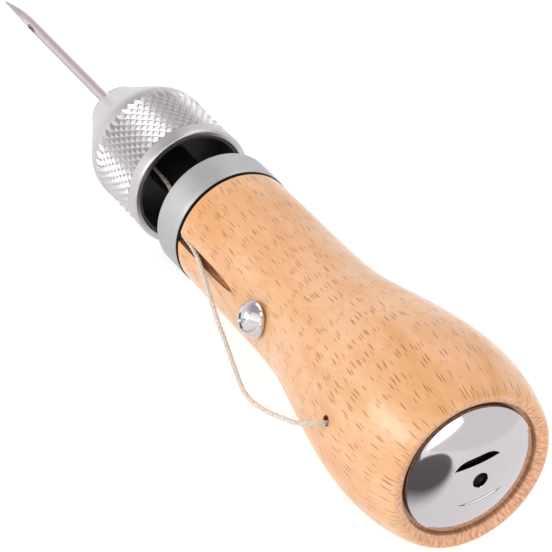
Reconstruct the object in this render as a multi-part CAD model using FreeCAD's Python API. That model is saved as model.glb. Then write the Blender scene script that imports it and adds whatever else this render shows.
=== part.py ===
"""Lock-stitch sewing awl: a turned wooden handle that stores a bobbin of thread, and a needle chuck.

Frame: +X runs along the awl towards the needle's point, +Y is the side where the thread comes out,
+Z is up. The origin is on the awl's axis, at the middle of the steel collar. Millimetres.
"""

import FreeCAD, Part
import math
import os

V = FreeCAD.Vector

# Driving dimensions
FIT = 0.02               # gap left between pieces that are pressed or glued together
RUNNING = 0.08           # radial gap of the screw threads and turning fits

COLLAR_R = 11.75
COLLAR_BORE = 10.92
COLLAR_HALF = 3.5        # half the collar's width
COLLAR_EDGE = 0.5        # rounding of its front edge

HANDLE_END = -82.25      # rear end of the wood
FACE_R = 14.4            # crest of the end, between its worn edge and its dished face
DISH = (-81.35, 12.75)   # where the dished face meets the cap's recess
TENON_END = 2.5          # front face of the wood, inside the collar
# Places along the handle and its radius there: bulb, waist and neck
SWELL = [(-81.75, 15.1), (-79.2, 16.05), (-74.75, 17.05), (-69.5, 17.5), (-59.0, 16.7),
         (-44.5, 13.65), (-36.0, 12.15), (-26.3, 11.73), (-15.5, 11.7), (-3.5, 11.5)]

CAP_R = 11.9
CAP_RIM = -81.3          # plane of the cap's rim
CAP_HEIGHT = 3.3         # rise of its dome
CAP_WALL = 0.9
CAP_SKIRT_R = 10.62
CAP_SKIRT_WALL = 0.8
CAP_SKIRT_END = -73.5
CAP_HOLE_R = 1.4
SLOT_LENGTH = 8.5
SLOT_WIDTH = 1.0
SLOT_OFFSET = 4.0
SLOT_ANGLE = -19.2       # degrees from +Y towards +Z
RECESS_FLOOR = -79.9     # the cap sits down on this floor
SOCKET_R = 11.9          # brass thread that the cap screws into
SOCKET_END = -71.0
WASHER = 0.5             # thickness of the dark washer under the rim

CHAMBER_R = 10.6
CHAMBER_FLOOR = -48.5
BOBBIN_R = 9.8
BOBBIN_REAR = -69.6
BOBBIN_FRONT = -49.6
FLANGE = 0.7
CORE_R = 2.6
PACKAGE_R = 8.2          # outside of the wound thread
SPINDLE_R = 1.5
SPINDLE_END = -68.4
SPINDLE_ROOT = -41.0
SPINDLE_EDGE = 0.8       # rounding of its free end
PACKAGE_EDGE = (1.5, 0.6)      # the wound thread's sloping shoulders, along and across

THREAD_R = 0.45          # waxed sewing thread, 0.9 mm
EXIT_X = -63.8           # thread hole in the bulb
EXIT_Y = 17.4            # where the thread leaves the wood
HOLE_R = 1.3
HOLE_RISE = 0.6          # the thread lies on the hole's lower side
HOLE_START = 6.0         # inside the bobbin chamber

GROOVE_R = 1.1
GROOVE_REAR = (-22.3, 11.72)   # where the groove's floor comes out of the wood
GROOVE_FRONT = (3.4, 8.97)     # its floor under the collar
GROOVE_RUN_OUT = 4.0
OUTSIDE = 16.0           # outside the neck on every side

SCREW_X = -32.0
SCREW_SEAT = 12.3        # underside of the tension screw's head
SCREW_HEAD_R = 3.35
SCREW_HEAD_H = 2.9
SCREW_R = 1.6
SCREW_TIP = 3.6
SCREW_RIM = 0.35         # straight edge under the dome
SCREW_POINT = 1.6        # length of its pointed end
SCREW_POINT_R = 0.3
SCREW_ARM = 2.0          # reach of the cross recess
SCREW_ARM_HALF = 0.4
SCREW_RECESS = 1.1       # its depth
SCREW_TURN = 33.7        # how far the cross is turned, in degrees

PLATE = 0.8              # thickness of the dark plate inside the collar
PLATE_GAP = 0.07
PLATE_NOTCH = 8.6        # the thread passes outside this radius
POST_R = 4.0
POST_SHANK_R = 3.0
POST_TAIL = -28.0
POST_TAIL_R = 1.0
POST_POINT = 3.0         # length of its tapered end
POST_FLANGE_R = 6.5
POST_FLANGE = 1.1        # thickness of its flange
POST_EDGE = 0.5
POST_FRONT = 29.0
SLOT_FLOOR = 2.95        # the post's thread slot
POST_SLOT_REAR = 8.0
POST_SLOT_HALF = 0.65
COLLET_SOCKET_R = 2.54

COLLET_REAR = 14.0
COLLET_HEAD = 30.2
COLLET_HEAD_R = 3.6
COLLET_FRONT = 36.6
COLLET_NOSE_R = 2.1
COLLET_SHOULDER = 1.0    # straight part of its head
COLLET_SLIT_REAR = 20.0
COLLET_SLIT_HALF = 0.25

NEEDLE_R = 1.0
NEEDLE_BUTT = 16.0
NEEDLE_TIP = 86.6
BLADE_REAR = 76.8
BLADE_WIDE = 80.0
BLADE_R = 1.22
BLADE_HALF = 0.85        # half the blade's thickness
POINT_LEAN = 0.9         # the point lies this far towards the thread's side
POINT_R = 0.08
EYE_X = 74.6
EYE_HALF = 1.1           # half the eye's length
EYE_WIDTH = 0.38         # half its width
LONG_GROOVE_REAR = 30.0  # the groove that leads the thread to the eye
LONG_GROOVE_R = 0.3

CHUCK_REAR = 11.8
CHUCK_R = 11.6
CHUCK_BORE = 10.5
CHUCK_CONE = 28.8        # the sleeve's cone starts here
CONE_SLOPE = 0.543       # radius lost per millimetre along the cone
NOSE_START = 40.2
NOSE_FRONT = 41.6
NOSE_BULGE = (0.38, 0.85)      # middle of the nose's rounding, from its front and its outside
NOSE_HOLE_R = 1.3
NOSE_NOTCH = 2.2         # width and depth of the notch at the nose
NOTCH_ANGLE = 41.5       # degrees from +Y towards +Z
LIP = 0.35               # bevel of the chuck's rear lip
SLEEVE_WALL_STEP = 1.3   # the inner cone starts this much further back
HUB_REAR = 20.3          # rear face of the threaded hub inside the chuck
INSERT_FRONT = 37.6
INSERT_SKIRT = 0.6       # wall of the insert's skirt
INSERT_SET_BACK = 0.5
SEAT_GAP = 0.05          # gap at the collet's seat


def vectors(points):
    """(x, radius) pairs as points of the XY plane."""
    return [V(x, r, 0) for x, r in points]


def revolve(edges):
    """Turn a closed outline in the XY plane round the awl's axis."""
    face = Part.Face(Part.Wire(edges))
    return face.revolve(V(0, 0, 0), V(1, 0, 0), 360)


def turned(points):
    """A turned piece with a straight-sided outline."""
    shape = Part.makePolygon(vectors(points + points[:1]))
    return revolve(shape.Edges)


def rod(start, end, radius):
    """A plain cylinder along the axis from x = start to x = end."""
    return Part.makeCylinder(radius, end - start, V(start, 0, 0), V(1, 0, 0))


def ring(start, end, outer, inner):
    return rod(start, end, outer).cut(rod(start - 1, end + 1, inner))


def block(low, high):
    return Part.makeBox(high[0] - low[0], high[1] - low[1], high[2] - low[2], V(*low))


def sphere_radius(radius, height):
    """Radius of the sphere whose cap has this rim radius and this height."""
    return (radius * radius + height * height) / (2 * height)


def export(name, shape):
    shape = shape.removeSplitter()
    if len(shape.Solids) == 1:
        shape = shape.Solids[0]
    if not shape.isValid():
        raise ValueError(name + " is not a valid solid")
    shape.exportStep("parts/" + name + ".step")
    print(name, "solids", len(shape.Solids), "volume", round(shape.Volume, 2))


# Handle ------------------------------------------------------------------------------------

def groove_cutter():
    """A round-nosed groove that gets deeper towards the collar and comes out at its rear end."""
    rear = V(GROOVE_REAR[0], GROOVE_REAR[1] + GROOVE_R, 0)
    front = V(GROOVE_FRONT[0], GROOVE_FRONT[1] + GROOVE_R, 0)
    along = (front - rear).normalize()
    rear = rear - along * GROOVE_RUN_OUT
    length = (front - rear).Length
    channel = Part.makeCylinder(GROOVE_R, length, rear, along)
    above = [rear, front, V(front.x, OUTSIDE, 0), V(rear.x, OUTSIDE, 0), rear]
    wall = Part.Face(Part.makePolygon([p - V(0, 0, GROOVE_R) for p in above]))
    return channel.fuse(wall.extrude(V(0, 0, 2 * GROOVE_R)))


def wooden_handle():
    curve = Part.BSplineCurve()
    curve.interpolate(vectors(SWELL))
    corners = [SWELL[-1], (SWELL[-1][0], COLLAR_BORE - FIT), (TENON_END, COLLAR_BORE - FIT),
               (TENON_END, 0), (DISH[0], 0), DISH, (HANDLE_END, FACE_R), SWELL[0]]
    wood = revolve([curve.toShape()] + Part.makePolygon(vectors(corners)).Edges)
    hollows = [
        rod(HANDLE_END - 1, RECESS_FLOOR, DISH[1]),
        rod(RECESS_FLOOR - 1, SOCKET_END, SOCKET_R + FIT),
        rod(SOCKET_END - 1, CHAMBER_FLOOR, CHAMBER_R),
        rod(CHAMBER_FLOOR - 1, SPINDLE_ROOT, SPINDLE_R + FIT),
        rod(POST_TAIL - 1, TENON_END + 1, POST_SHANK_R + FIT),
        Part.makeCylinder(HOLE_R, OUTSIDE, V(EXIT_X, HOLE_START, HOLE_RISE), V(0, 1, 0)),
        Part.makeCylinder(SCREW_R + FIT, OUTSIDE, V(SCREW_X, SCREW_TIP - 0.5, 0), V(0, 1, 0)),
        groove_cutter(),
    ]
    for hollow in hollows:
        wood = wood.cut(hollow)
    return wood


def front_collar():
    band = ring(-COLLAR_HALF + FIT, COLLAR_HALF, COLLAR_R, COLLAR_BORE)
    edge = [e for e in band.Edges
            if abs(e.CenterOfMass.x - COLLAR_HALF) < 0.01 and abs(e.Curve.Radius - COLLAR_R) < 0.01]
    return band.makeFillet(COLLAR_EDGE, edge)


def front_plate():
    plate = ring(TENON_END + FIT, TENON_END + PLATE, COLLAR_BORE - PLATE_GAP, POST_SHANK_R + FIT)
    notch = block((TENON_END - 1, PLATE_NOTCH, -GROOVE_R), (TENON_END + 3, OUTSIDE, GROOVE_R))
    return plate.cut(notch)


def tension_screw():
    """Round-headed screw with a cross recess, standing out of the thread side of the handle."""
    rim = SCREW_SEAT + SCREW_RIM
    top = SCREW_SEAT + SCREW_HEAD_H
    ball = sphere_radius(SCREW_HEAD_R, top - rim)
    above = block((SCREW_X - ball, rim, -ball), (SCREW_X + ball, top + 1, ball))
    head = Part.makeSphere(ball, V(SCREW_X, top - ball, 0)).common(above)
    up = V(0, 1, 0)
    head = head.fuse(Part.makeCylinder(SCREW_HEAD_R, SCREW_RIM, V(SCREW_X, SCREW_SEAT, 0), up))
    shank_start = SCREW_TIP + SCREW_POINT
    shank = Part.makeCylinder(SCREW_R, SCREW_SEAT - shank_start, V(SCREW_X, shank_start, 0), up)
    tip = Part.makeCone(SCREW_POINT_R, SCREW_R, SCREW_POINT, V(SCREW_X, SCREW_TIP, 0), up)
    screw = head.fuse(shank).fuse(tip)
    for x, z in ((SCREW_ARM, SCREW_ARM_HALF), (SCREW_ARM_HALF, SCREW_ARM)):
        arm = block((SCREW_X - x, top - SCREW_RECESS, -z), (SCREW_X + x, top + 1, z))
        arm.rotate(V(SCREW_X, 0, 0), up, SCREW_TURN)
        screw = screw.cut(arm)
    return screw


# Bobbin chamber ----------------------------------------------------------------------------

def cap_socket():
    return ring(RECESS_FLOOR, SOCKET_END - FIT, SOCKET_R, CAP_SKIRT_R + RUNNING)


def cap_washer():
    rear = RECESS_FLOOR - FIT - WASHER
    return ring(rear, rear + WASHER, CAP_R + RUNNING, CAP_SKIRT_R + RUNNING)


def slot_cutter(side):
    """One long slot with pointed ends, beside the cap's centre hole."""
    reach = SLOT_LENGTH / 2
    bow = (reach * reach + SLOT_WIDTH * SLOT_WIDTH / 4) / SLOT_WIDTH
    rise = bow - SLOT_WIDTH / 2
    upper = Part.Arc(V(0, -reach, 0), V(0, 0, bow - rise), V(0, reach, 0)).toShape()
    lower = Part.Arc(V(0, reach, 0), V(0, 0, rise - bow), V(0, -reach, 0)).toShape()
    lens = Part.Face(Part.Wire([upper, lower])).extrude(V(2 * CAP_HEIGHT, 0, 0))
    lens.translate(V(CAP_RIM - 1.5 * CAP_HEIGHT, 0, side * SLOT_OFFSET))
    lens.rotate(V(0, 0, 0), V(1, 0, 0), SLOT_ANGLE)
    return lens


def end_cap():
    ball = sphere_radius(CAP_R, CAP_HEIGHT)
    behind = CAP_RIM - CAP_HEIGHT - 1
    centre = V(CAP_RIM - CAP_HEIGHT + ball, 0, 0)
    outside = Part.makeSphere(ball, centre)
    inside = Part.makeSphere(ball - CAP_WALL, centre)
    dome = outside.cut(inside).common(rod(behind, CAP_RIM, CAP_R + 1))
    under = RECESS_FLOOR - 2 * FIT - WASHER
    rim = ring(CAP_RIM, under, CAP_R, CAP_SKIRT_R - CAP_SKIRT_WALL)
    skirt = ring(CAP_RIM - CAP_WALL, CAP_SKIRT_END, CAP_SKIRT_R, CAP_SKIRT_R - CAP_SKIRT_WALL)
    skirt = skirt.common(outside.fuse(rod(CAP_RIM, CAP_SKIRT_END, CAP_R)))
    cap = dome.fuse(rim).fuse(skirt).cut(rod(behind, CAP_RIM, CAP_HOLE_R))
    for side in (-1, 1):
        cap = cap.cut(slot_cutter(side))
    return cap


def bobbin_spindle():
    pin = rod(SPINDLE_END, SPINDLE_ROOT, SPINDLE_R)
    edge = [e for e in pin.Edges if abs(e.CenterOfMass.x - SPINDLE_END) < 0.01]
    return pin.makeFillet(SPINDLE_EDGE, edge)


def bobbin_core():
    return ring(BOBBIN_REAR, BOBBIN_FRONT, CORE_R, SPINDLE_R + RUNNING)


def bobbin_flange(start):
    return ring(start, start + FLANGE, BOBBIN_R, CORE_R + FIT)


def thread_package():
    rear = BOBBIN_REAR + FLANGE + FIT
    front = BOBBIN_FRONT - FLANGE - FIT
    inner = CORE_R + FIT
    along, across = PACKAGE_EDGE
    return turned([(rear, inner), (rear, PACKAGE_R - across), (rear + along, PACKAGE_R),
                   (front - along, PACKAGE_R), (front, PACKAGE_R - across), (front, inner)])


# Thread ------------------------------------------------------------------------------------

# From the wound thread, through the hole in the bulb
FEED = [(EXIT_X, 7.35, 5.11), (EXIT_X, 10.9, 0), (EXIT_X, EXIT_Y, 0)]
# The slack loop that stands out past the tension screw and drops a little under its weight
LOOP = [(EXIT_X, EXIT_Y, 0), (EXIT_X, 19.55, 0), (-62.5, 21.5, -0.4), (-59.3, 22.4, -1.3),
        (-53.6, 22.9, -3.0), (-46.6, 21.6, -4.8), (-38.6, 18.4, -5.7), (-31.2, 16.1, -5.3),
        (-25.0, 14.9, -3.8), (-19.5, 14.0, -1.6), (-13.5, 12.26, -0.64)]
# Down the groove, under the collar and along the post's slot to the needle
LEAD = [(-13.5, 12.26, -0.64), (-9.5, 11.1, 0), (-3.5, 10.45, 0), (3.4, 10.0, 0),
        (10.5, 3.5, 0), (22.0, 3.5, 0)]


def cord(name, route):
    """A tube of straight runs joined by tangent arcs, as large as the runs allow."""
    points = [V(*p) for p in route]
    edges = []
    start = points[0]
    radii = []
    for before, corner, after in zip(points, points[1:], points[2:]):
        into = corner - before
        out = after - corner
        turn = into.getAngle(out)
        reach = 0.45 * min(into.Length, out.Length)
        radii.append(reach / math.tan(turn / 2))
        into.normalize()
        out.normalize()
        first = corner - into * reach
        last = corner + out * reach
        bisector = (out - into).normalize()
        centre = corner + bisector * (radii[-1] / math.cos(turn / 2))
        middle = centre - bisector * radii[-1]
        edges.append(Part.LineSegment(start, first).toShape())
        edges.append(Part.Arc(first, middle, last).toShape())
        start = last
    edges.append(Part.LineSegment(start, points[-1]).toShape())
    path = Part.Wire(edges)
    section = Part.Wire(Part.Circle(points[0], points[1] - points[0], THREAD_R).toShape())
    tube = path.makePipeShell([section], True, False)
    expected = math.pi * THREAD_R ** 2 * path.Length
    print(name, "radii", [round(r, 1) for r in radii], "length", round(path.Length, 1),
          "volume ratio", round(tube.Volume / expected, 4))
    return tube


# Needle and chuck --------------------------------------------------------------------------

def needle_post():
    """Blackened stud: wood-screw tail, flange, and a slotted, threaded nose with the collet's socket."""
    flange = TENON_END + PLATE + FIT
    seat = flange + POST_FLANGE
    post = turned([(POST_TAIL, 0), (POST_TAIL, POST_TAIL_R), (POST_TAIL + POST_POINT, POST_SHANK_R),
                   (flange, POST_SHANK_R), (flange, POST_FLANGE_R), (seat, POST_FLANGE_R),
                   (seat, POST_R), (POST_FRONT - POST_EDGE, POST_R),
                   (POST_FRONT, POST_R - POST_EDGE), (POST_FRONT, 0)])
    post = post.cut(rod(COLLET_REAR - 1, POST_FRONT + 1, COLLET_SOCKET_R))
    slot = block((POST_SLOT_REAR, SLOT_FLOOR, -POST_SLOT_HALF),
                 (POST_FRONT + 1, POST_R + 1, POST_SLOT_HALF))
    return post.cut(slot)


def collet():
    """Split jaws that the chuck's cone squeezes on the needle."""
    shank = COLLET_SOCKET_R - 2 * FIT
    shoulder = COLLET_HEAD + COLLET_SHOULDER
    body = turned([(COLLET_REAR, 0), (COLLET_REAR, shank), (COLLET_HEAD, shank),
                   (COLLET_HEAD, COLLET_HEAD_R), (shoulder, COLLET_HEAD_R),
                   (COLLET_FRONT, COLLET_NOSE_R), (COLLET_FRONT, 0)])
    body = body.cut(rod(COLLET_REAR - 1, COLLET_FRONT + 1, NEEDLE_R + 1.5 * FIT))
    reach = COLLET_HEAD_R + 1
    for y, z in ((reach, COLLET_SLIT_HALF), (COLLET_SLIT_HALF, reach)):
        body = body.cut(block((COLLET_SLIT_REAR, -y, -z), (COLLET_FRONT + 1, y, z)))
    return body


def needle():
    """Lock-stitch needle: a grooved shank, an eye and a flattened lance point."""
    shank = turned([(NEEDLE_BUTT, 0), (NEEDLE_BUTT, NEEDLE_R - 0.2), (NEEDLE_BUTT + 0.4, NEEDLE_R),
                    (BLADE_REAR, NEEDLE_R), (BLADE_WIDE, BLADE_R), (BLADE_WIDE, 0)])
    rings = [(BLADE_WIDE, BLADE_R, 0), (NEEDLE_TIP, POINT_R, POINT_LEAN)]
    wires = [Part.Wire(Part.Circle(V(x, y, 0), V(1, 0, 0), r).toShape()) for x, r, y in rings]
    shank = shank.fuse(Part.makeLoft(wires, True, True))
    sides = block((NEEDLE_BUTT - 1, -2, -2), (BLADE_REAR, 2, 2))
    sides = sides.fuse(block((BLADE_REAR, -2, -BLADE_HALF), (NEEDLE_TIP + 1, 2, BLADE_HALF)))
    body = shank.common(sides)
    run = EYE_X - LONG_GROOVE_REAR
    groove = Part.makeCylinder(LONG_GROOVE_R, run, V(LONG_GROOVE_REAR, NEEDLE_R, 0), V(1, 0, 0))
    eye = block((EYE_X - EYE_HALF, -2, -EYE_WIDTH), (EYE_X + EYE_HALF, 2, EYE_WIDTH))
    eye = eye.makeFillet(0.8 * EYE_WIDTH, [e for e in eye.Edges if abs(e.tangentAt(0).y) > 0.9])
    return body.cut(groove).cut(eye)


def cone_radius(x, start, radius):
    return radius - CONE_SLOPE * (x - start)


def chuck_sleeve():
    """Aluminium shell of the chuck: smooth lip, straight barrel, cone and rounded nose."""
    inner_cone = CHUCK_CONE - SLEEVE_WALL_STEP
    nose_r = cone_radius(NOSE_START, CHUCK_CONE, CHUCK_R)
    outline = [(CHUCK_REAR, CHUCK_BORE + FIT), (CHUCK_REAR, CHUCK_R - LIP), (CHUCK_REAR + LIP, CHUCK_R),
               (CHUCK_CONE, CHUCK_R), (NOSE_START, nose_r)]
    front = [(NOSE_FRONT, nose_r - NOSE_NOTCH), (NOSE_FRONT, NOSE_HOLE_R),
             (INSERT_FRONT + FIT, NOSE_HOLE_R),
             (INSERT_FRONT + FIT, cone_radius(INSERT_FRONT, inner_cone, CHUCK_BORE + FIT)),
             (inner_cone, CHUCK_BORE + FIT), (CHUCK_REAR, CHUCK_BORE + FIT)]
    bulge = V(NOSE_FRONT - NOSE_BULGE[0], nose_r - NOSE_BULGE[1], 0)
    nose = Part.Arc(V(*outline[-1], 0), bulge, V(*front[0], 0)).toShape()
    edges = Part.makePolygon(vectors(outline)).Edges + [nose] + Part.makePolygon(vectors(front)).Edges
    sleeve = revolve(edges)
    half = NOSE_NOTCH / 2
    notch = block((NOSE_FRONT - NOSE_NOTCH, 0, -half), (NOSE_FRONT + 1, CHUCK_R, half))
    notch.rotate(V(0, 0, 0), V(1, 0, 0), NOTCH_ANGLE)
    return sleeve.cut(notch)


def chuck_insert():
    """Black moulded bush inside the sleeve: thread for the post, and the cone that closes the collet."""
    inner_cone = CHUCK_CONE - SLEEVE_WALL_STEP
    bore = POST_R + RUNNING
    skirt_end = CHUCK_REAR + INSERT_SET_BACK
    shoulder = COLLET_HEAD + COLLET_SHOULDER
    nose = cone_radius(INSERT_FRONT, inner_cone, CHUCK_BORE)
    return turned([(skirt_end, CHUCK_BORE - INSERT_SKIRT), (skirt_end, CHUCK_BORE),
                   (inner_cone, CHUCK_BORE), (INSERT_FRONT, nose),
                   (INSERT_FRONT, COLLET_NOSE_R + SEAT_GAP), (COLLET_FRONT, COLLET_NOSE_R + SEAT_GAP),
                   (shoulder, COLLET_HEAD_R + SEAT_GAP), (shoulder, bore), (HUB_REAR, bore),
                   (HUB_REAR, CHUCK_BORE - INSERT_SKIRT)])


os.makedirs("parts", exist_ok=True)
export("wooden_handle", wooden_handle())
export("front_collar", front_collar())
export("front_plate", front_plate())
export("tension_screw", tension_screw())
export("cap_socket", cap_socket())
export("cap_washer", cap_washer())
export("end_cap", end_cap())
export("bobbin_spindle", bobbin_spindle())
export("bobbin_core", bobbin_core())
export("bobbin_flange_rear", bobbin_flange(BOBBIN_REAR))
export("bobbin_flange_front", bobbin_flange(BOBBIN_FRONT - FLANGE))
export("thread_package", thread_package())
export("thread_feed", cord("thread_feed", FEED))
export("thread_loop", cord("thread_loop", LOOP))
export("thread_lead", cord("thread_lead", LEAD))
export("needle_post", needle_post())
export("collet", collet())
export("needle", needle())
export("chuck_sleeve", chuck_sleeve())
export("chuck_insert", chuck_insert())
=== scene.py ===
import math

import bpy
from mathutils import Matrix, Vector


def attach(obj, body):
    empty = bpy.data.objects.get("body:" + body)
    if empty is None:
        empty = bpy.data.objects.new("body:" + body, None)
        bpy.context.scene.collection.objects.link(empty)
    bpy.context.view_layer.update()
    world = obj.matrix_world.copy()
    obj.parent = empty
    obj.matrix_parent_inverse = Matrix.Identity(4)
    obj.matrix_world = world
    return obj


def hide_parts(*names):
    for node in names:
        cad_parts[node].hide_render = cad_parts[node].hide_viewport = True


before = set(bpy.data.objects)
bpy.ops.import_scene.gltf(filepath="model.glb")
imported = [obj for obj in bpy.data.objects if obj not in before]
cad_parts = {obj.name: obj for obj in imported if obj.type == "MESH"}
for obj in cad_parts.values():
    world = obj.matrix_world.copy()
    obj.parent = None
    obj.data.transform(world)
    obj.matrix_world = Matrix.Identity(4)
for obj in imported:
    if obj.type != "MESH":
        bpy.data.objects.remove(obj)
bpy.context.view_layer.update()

mm = 0.001
axisTurn = (0, math.pi / 2, 0)   # turns a primitive's Z axis to the awl's X axis


# Small tools for modelling

def startFresh():
    if bpy.context.object and bpy.context.object.mode != "OBJECT":
        bpy.ops.object.mode_set(mode="OBJECT")
    bpy.ops.object.select_all(action="DESELECT")


def pick(piece):
    startFresh()
    piece.select_set(True)
    bpy.context.view_layer.objects.active = piece


def settle(piece):
    # the object goes to the origin, its place goes into its mesh
    pick(piece)
    bpy.ops.object.transform_apply(location=True, rotation=True, scale=True)


def addRing(name, x, radius, sides):
    startFresh()
    bpy.ops.mesh.primitive_circle_add(vertices=sides, radius=radius * mm, fill_type="NOTHING",
                                      location=(x * mm, 0, 0), rotation=axisTurn)
    piece = bpy.context.object
    piece.name = name
    piece.data.name = name
    settle(piece)
    return piece


def turnPiece(name, outline, sides, closed=False):
    # a lathe by hand: one ring, pulled out along the axis and resized at each step of the outline
    piece = addRing(name, outline[0][0], max(outline[0][1], 0.001), sides)
    bpy.ops.object.mode_set(mode="EDIT")
    bpy.ops.mesh.select_all(action="SELECT")
    lastX, lastR = outline[0][0], max(outline[0][1], 0.001)
    steps = list(outline[1:]) + ([outline[0]] if closed else [])
    for x, r in steps:
        r = max(r, 0.001)
        bpy.ops.mesh.extrude_region_move(TRANSFORM_OT_translate={"value": ((x - lastX) * mm, 0, 0)})
        bpy.ops.transform.resize(value=(1, r / lastR, r / lastR))
        lastX, lastR = x, r
    bpy.ops.mesh.select_all(action="SELECT")
    bpy.ops.mesh.remove_doubles(threshold=0.004 * mm)
    bpy.ops.mesh.normals_make_consistent(inside=False)
    bpy.ops.object.mode_set(mode="OBJECT")
    return piece


def applyModifier(piece, kind, **settings):
    pick(piece)
    modifier = piece.modifiers.new(kind.title(), kind)
    for key, value in settings.items():
        setattr(modifier, key, value)
    bpy.ops.object.modifier_apply(modifier=modifier.name)


def cutWith(piece, cutter, material=None):
    if material:
        cutter.data.materials.clear()
        cutter.data.materials.append(material)
    applyModifier(piece, "BOOLEAN", operation="DIFFERENCE", solver="EXACT", object=cutter,
                  material_mode="TRANSFER")
    bpy.data.objects.remove(cutter)


def smooth(piece, angle=35):
    pick(piece)
    bpy.ops.object.shade_smooth_by_angle(angle=math.radians(angle))


def bevelRounded(name, cx, cy, cz, sx, sy, sz, width, segments=3):
    # a box with rounded edges, for slots and recesses
    startFresh()
    bpy.ops.mesh.primitive_cube_add(size=1, location=(cx * mm, cy * mm, cz * mm))
    box = bpy.context.object
    box.name = name
    box.scale = (sx * mm, sy * mm, sz * mm)
    settle(box)
    applyModifier(box, "BEVEL", width=width * mm, segments=segments)
    return box


# Materials

def colour(code):
    # sRGB hex to linear
    parts = [int(code[i:i + 2], 16) / 255 for i in (1, 3, 5)]
    linear = [c / 12.92 if c <= 0.04045 else ((c + 0.055) / 1.055) ** 2.4 for c in parts]
    return (*linear, 1.0)


def addNode(tree, kind, inputs=None, **settings):
    made = tree.nodes.new(kind)
    for key, value in settings.items():
        setattr(made, key, value)
    for socket, value in (inputs or {}).items():
        if isinstance(value, bpy.types.NodeSocket):
            tree.links.new(value, made.inputs[socket])
        else:
            made.inputs[socket].default_value = value
    return made


def newMaterial(name, **values):
    material = bpy.data.materials.new(name)
    material.use_nodes = True
    shader = material.node_tree.nodes["Principled BSDF"]
    for socket, value in values.items():
        shader.inputs[socket.replace("_", " ")].default_value = value
    return material, material.node_tree, shader


def perMetre(millimetres):
    return 1000.0 / millimetres


def addBump(tree, shader, height, strength, depth):
    bump = addNode(tree, "ShaderNodeBump", {"Height": height, "Strength": strength,
                   "Distance": depth * mm})
    tree.links.new(bump.outputs["Normal"], shader.inputs["Normal"])


def addRamp(tree, shader, factor, low, lowTone, high, highTone):
    # a base colour that runs from one tone to another between two values of the factor
    ramp = addNode(tree, "ShaderNodeValToRGB", {"Fac": factor})
    for element, spot, tone in zip(ramp.color_ramp.elements, (low, high), (lowTone, highTone)):
        element.position = spot
        element.color = colour(tone)
    tree.links.new(ramp.outputs["Color"], shader.inputs["Base Color"])


def stretched(tree, grain, across):
    # object coordinates squeezed so that one noise cell is grain mm long and across mm wide
    place = addNode(tree, "ShaderNodeTexCoord")
    scale = (perMetre(grain), perMetre(across), perMetre(across))
    return addNode(tree, "ShaderNodeMapping", {"Vector": place.outputs["Object"],
                   "Scale": scale}).outputs["Vector"]


def wrapped(tree, grain, across, radius, lean):
    # flat coordinates rolled round the handle: along the axis, and round it at a set radius,
    # with the grain leaning a little across the axis
    place = addNode(tree, "ShaderNodeTexCoord")
    split = addNode(tree, "ShaderNodeSeparateXYZ", {"Vector": place.outputs["Object"]})
    angle = addNode(tree, "ShaderNodeMath", {0: split.outputs["Z"], 1: split.outputs["Y"]},
                    operation="ARCTAN2")
    drift = addNode(tree, "ShaderNodeMath", {0: split.outputs["X"], 1: -lean / (radius * mm)},
                    operation="MULTIPLY")
    turned = addNode(tree, "ShaderNodeMath", {0: angle.outputs[0], 1: drift.outputs[0]},
                     operation="ADD")
    along = addNode(tree, "ShaderNodeMath", {0: split.outputs["X"], 1: perMetre(grain)},
                    operation="MULTIPLY")
    girth = addNode(tree, "ShaderNodeMath", {0: turned.outputs[0], 1: radius / across},
                    operation="MULTIPLY")
    return addNode(tree, "ShaderNodeCombineXYZ", {"X": along.outputs[0],
                   "Y": girth.outputs[0]}).outputs["Vector"]


# lengths in mm; lean is how far the grain runs across the axis for each mm along it
beech = {"light": "#DDAE82", "honey": "#D1955B", "vein": "#CB8F59", "fleck": "#8A5A33",
         "cloudLong": 22, "cloudWide": 6, "poreLong": 3.0, "poreWide": 0.35,
         "fleckLong": 4.4, "fleckWide": 0.40, "fleckReach": 0.36, "fleckDent": 0.06,
         "radius": 13.5, "lean": 0.06, "coat": 0.5, "coatRoughness": 0.16}


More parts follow.
